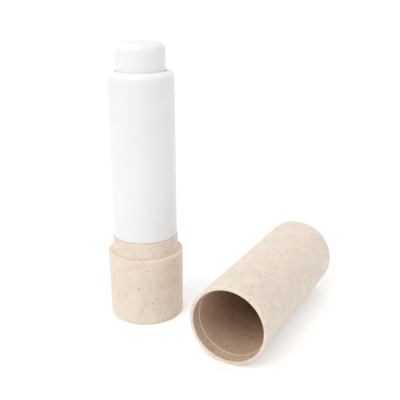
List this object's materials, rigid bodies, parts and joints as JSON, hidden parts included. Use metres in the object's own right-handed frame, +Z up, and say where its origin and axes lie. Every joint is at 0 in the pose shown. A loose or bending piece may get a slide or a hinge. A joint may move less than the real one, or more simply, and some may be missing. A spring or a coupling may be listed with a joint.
{
  "type": "lip balm stick",
  "caption": "Round twist-up lip balm stick with a speckled base, a smooth barrel, raised balm and a pull-off cap lying beside it.",
  "frame": {"origin": "centre of the base's flat underside, on the stick's axis", "axes": "+Z up along the stick's axis, +Y along the lying cap's axis from its mouth to its closed end, +X from the stick towards the cap"},
  "size_m": [0.0495, 0.0475, 0.0698],
  "materials": {
    "straw_plastic": "satin moulded plastic filled with plant fibre, with fine brown and pale specks",
    "white_plastic": "satin white moulded plastic",
    "inner_plastic": "smooth natural white plastic",
    "balm_wax": "smooth white wax balm"
  },
  "bodies": {
    "base": {"base_shell": "straw_plastic", "neck_insert": "straw_plastic", "guide_tube": "inner_plastic"},
    "barrel": {"barrel": "white_plastic", "spiral_sleeve": "inner_plastic"},
    "balm_carrier": {"carrier_cup": "inner_plastic", "balm": "balm_wax"},
    "cap": {"cap": "straw_plastic"}
  },
  "joints": [
    {"name": "barrel_twist", "type": "hinge", "parent": "base", "child": "barrel", "pos_m": [0, 0, 0.0218], "axis": [0, 0, 1], "range_deg": [-112.5, 360]},
    {"name": "balm_lift", "type": "slide", "parent": "base", "child": "balm_carrier", "axis": [0, 0, 1], "range_m": [-0.00751, 0.02401]},
    {"name": "cap_lift", "type": "slide", "parent": "base", "child": "cap", "axis": [0, 0, 1], "range_m": [0, 0.075]}
  ],
  "couplings": [
    {"joint": "balm_lift", "follows": "barrel_twist", "m_per_rad": 0.0038197}
  ]
}
